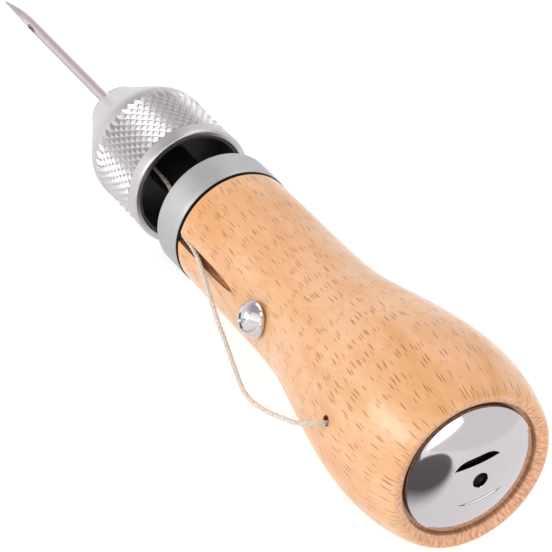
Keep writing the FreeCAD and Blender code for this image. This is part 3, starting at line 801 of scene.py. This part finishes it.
def addNeedle():
    n = needle
    r = n["radius"]
    outline = [(n["butt"], 0), (n["butt"], r - 0.2), (n["butt"] + 0.2, r - 0.02),
               (n["butt"] + 0.6, r)]
    outline += [(x, r) for x in (30, 45, 60, 70, 73, 75.5)]
    outline += [(n["bladeRear"], r), (78.2, r + 0.12), (n["wide"], n["bladeRadius"]),
                (81.5, 1.06), (83.0, 0.80), (84.4, 0.54), (85.6, 0.30), (n["tip"] - 0.2, 0.09),
                (n["tip"], 0)]
    piece = turnPiece("lanceNeedle", outline, n["sides"])
    # the blade is hammered flat, and its point lies towards the thread's side
    pick(piece)
    for vertex in piece.data.vertices:
        x = vertex.co.x / mm
        if x > n["bladeRear"]:
            share = min((x - n["bladeRear"]) / 3.0, 1.0)
            edge = abs(vertex.co.y) / (n["bladeRadius"] * mm)
            vertex.co.z *= 1 - share * (1 - n["flat"] * (1 - 0.5 * edge))
        if x > n["wide"]:
            vertex.co.y += n["lean"] * mm * ((x - n["wide"]) / (n["tip"] - n["wide"])) ** 1.3
    startFresh()
    x, y = n["grooveAt"]
    bpy.ops.mesh.primitive_cylinder_add(vertices=24, radius=n["grooveRadius"] * mm,
                                        depth=n["grooveLong"] * mm, rotation=axisTurn,
                                        location=(x * mm, y * mm, 0))
    groove = bpy.context.object
    settle(groove)
    cutWith(piece, groove)
    eye = bevelRounded("eye", n["eye"], 0, 0, 2.6, 4, 0.8, 0.39, 6)
    cutWith(piece, eye)
    smooth(piece, 40)
    finishPiece(piece, "needle", "needle_steel", needleSteel, "needle")


addNeedle()
print("needle ready")


# Tension screw: polished round head with a cross recess

screw = {"sides": 96, "x": -32.0, "seat": 12.3, "radius": 3.35, "height": 2.9, "edge": 0.35,
         "shank": 1.6, "tip": 3.6,
         "arm": 4.2, "blade": 0.8, "depth": 1.2, "turn": 33.7}


def addScrew():
    s = screw
    rise = s["height"] - s["edge"]
    ball = (s["radius"] ** 2 + rise ** 2) / (2 * rise)
    outline = [(s["tip"], 0), (s["tip"] + 0.1, 0.3), (s["tip"] + 1.6, s["shank"]),
               (s["seat"] - 0.05, s["shank"]), (s["seat"], s["shank"] + 0.05),
               (s["seat"], s["radius"] - 0.15), (s["seat"] + 0.05, s["radius"] - 0.03),
               (s["seat"] + 0.2, s["radius"]), (s["seat"] + s["edge"], s["radius"] - 0.005)]
    top = math.asin(s["radius"] / ball)
    for step in range(1, 13):
        angle = top * (1 - step / 12)
        outline.append((s["seat"] + s["height"] - ball + ball * math.cos(angle),
                        ball * math.sin(angle)))
    piece = turnPiece("crossScrew", outline, s["sides"])
    piece.rotation_euler = (0, 0, math.pi / 2)
    piece.location = (s["x"] * mm, 0, 0)
    settle(piece)
    for turn in (0, 90):
        arm = bevelRounded("arm", 0, 0, 0, s["arm"], s["depth"] * 2, s["blade"], 0.12, 2)
        # the arm narrows towards the bottom of the recess
        for vertex in arm.data.vertices:
            if vertex.co.y < 0:
                vertex.co.x *= 0.45
                vertex.co.z *= 0.75
        arm.rotation_euler = (0, math.radians(turn + s["turn"]), 0)
        arm.location = (s["x"] * mm, (s["seat"] + s["height"]) * mm, 0)
        settle(arm)
        cutWith(piece, arm)
    smooth(piece, 35)
    finishPiece(piece, "handle", "polished_steel", screwSteel, "tension_screw")


addScrew()
print("screw ready")


# End cap: thin polished dome with a centre hole and two slots, one with its outer lip pressed
# inwards

cap = {"sides": 160, "radius": 11.9, "rim": -81.3, "height": 3.3, "wall": 0.9, "under": -80.44,
       "skirt": 10.62, "skirtWall": 0.8, "skirtEnd": -73.5, "hole": 1.4, "slotLong": 8.5,
       "slotAngle": -19.2,
       # side, place of the inner edge, width, how deep its outer lip is pressed
       "slots": [(1, 3.35, 1.35, 0.0), (-1, 3.85, 0.6, 1.0)]}


def addCap():
    c = cap
    ball = (c["radius"] ** 2 + c["height"] ** 2) / (2 * c["height"])
    centre = c["rim"] - c["height"] + ball
    inner = c["skirt"] - c["skirtWall"]

    def dome(radius, shell):
        return centre - math.sqrt(shell ** 2 - radius ** 2), radius

    radii = [c["hole"] + 0.06, 2.2, 3.2, 4.2, 5.2, 6.4, 7.6, 8.8, 9.8, 10.8, 11.4, 11.75]
    thin = ball - c["wall"]
    outline = [dome(r, ball) for r in radii]
    outline += [(c["rim"] - 0.02, c["radius"]), (c["rim"] + 0.2, c["radius"]),
                (c["under"], c["radius"] - 0.12), (c["under"], c["skirt"]),
                (c["skirtEnd"] - 0.2, c["skirt"]), (c["skirtEnd"], c["skirt"] - 0.2),
                (c["skirtEnd"], inner), dome(inner, thin)]
    outline += [dome(r, thin) for r in (8.8, 7.6, 6.4, 5.2, 4.2, 3.2, 2.2, c["hole"] + 0.06)]
    edgeX = dome(c["hole"], ball)[0]
    outline += [(edgeX + c["wall"] * 0.9, c["hole"]), (edgeX + 0.08, c["hole"])]
    piece = turnPiece("domedCap", outline, c["sides"], closed=True)
    for side, place, width, _ in c["slots"]:
        cutWith(piece, slotCutter(side, place, width))
    lips = [pressedLip(ball, centre, *slot) for slot in c["slots"] if slot[3]]
    pick(piece)
    for lip in lips:
        lip.select_set(True)
    bpy.ops.object.join()
    smooth(piece, 30)
    finishPiece(piece, "cap", "polished_steel", polished, "end_cap")


def slotCutter(side, place, width):
    # a straight inner edge towards the centre hole and an arched outer edge
    c = cap
    startFresh()
    bpy.ops.mesh.primitive_cube_add(size=1)
    cutter = bpy.context.object
    cutter.scale = (6 * mm, c["slotLong"] * mm, 1 * mm)
    settle(cutter)
    bpy.ops.object.mode_set(mode="EDIT")
    bpy.ops.mesh.select_all(action="SELECT")
    bpy.ops.mesh.subdivide(number_cuts=15)
    bpy.ops.object.mode_set(mode="OBJECT")
    for vertex in cutter.data.vertices:
        along = vertex.co.y / (c["slotLong"] / 2 * mm)
        share = vertex.co.z / mm + 0.5
        vertex.co.z = side * (place + share * width * max(1 - along ** 4, 0.04)) * mm
    cutter.location = ((c["rim"] - c["height"] + 1) * mm, 0, 0)
    settle(cutter)
    bpy.ops.object.mode_set(mode="EDIT")
    bpy.ops.mesh.select_all(action="SELECT")
    bpy.ops.mesh.normals_make_consistent(inside=False)
    bpy.ops.object.mode_set(mode="OBJECT")
    cutter.rotation_euler = (math.radians(c["slotAngle"]), 0, 0)
    settle(cutter)
    return cutter


def pressedLip(ball, centre, side, place, width, depth):
    # the strip outside the slot, pushed in along the slot and still joined along its outer edge
    c = cap
    startFresh()
    bpy.ops.mesh.primitive_grid_add(x_subdivisions=24, y_subdivisions=6, size=2)
    lip = bpy.context.object
    for vertex in lip.data.vertices:
        along, share = vertex.co.x, (vertex.co.y + 1) / 2
        bow = max(1 - along ** 4, 0.0)
        y = along * c["slotLong"] / 2
        z = side * (place + share * (width * bow + 0.06))
        x = centre - math.sqrt(ball ** 2 - y * y - z * z) + 0.02
        vertex.co = ((x + depth * bow * (1 - share)) * mm, y * mm, z * mm)
    applyModifier(lip, "SOLIDIFY", thickness=0.35 * mm, offset=side * 1.0)
    lip.rotation_euler = (math.radians(c["slotAngle"]), 0, 0)
    settle(lip)
    bpy.ops.object.mode_set(mode="EDIT")
    bpy.ops.mesh.select_all(action="SELECT")
    bpy.ops.mesh.normals_make_consistent(inside=False)
    bpy.ops.object.mode_set(mode="OBJECT")
    return lip


addCap()
print("cap ready")


# CAD nodes that keep their shape get their own finish

# the washer, the chuck insert, the needle post and the front plate take the painted shade colours
finishes = {"front_plate": chuckShadeSteel, "needle_post": chuckShadeSteel, "cap_socket": brass,
            "cap_washer": paintedShadePlastic, "bobbin_spindle": colletSteel, "bobbin_core": bobbinSteel,
            "bobbin_flange_rear": bobbinSteel, "bobbin_flange_front": bobbinSteel,
            "thread_package": waxedThread, "collet": colletSteel, "chuck_insert": paintedShadePlastic}
for name, material in finishes.items():
    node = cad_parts[name]
    node.data.materials.clear()
    node.data.materials.append(material)
print("CAD nodes finished")

startFresh()
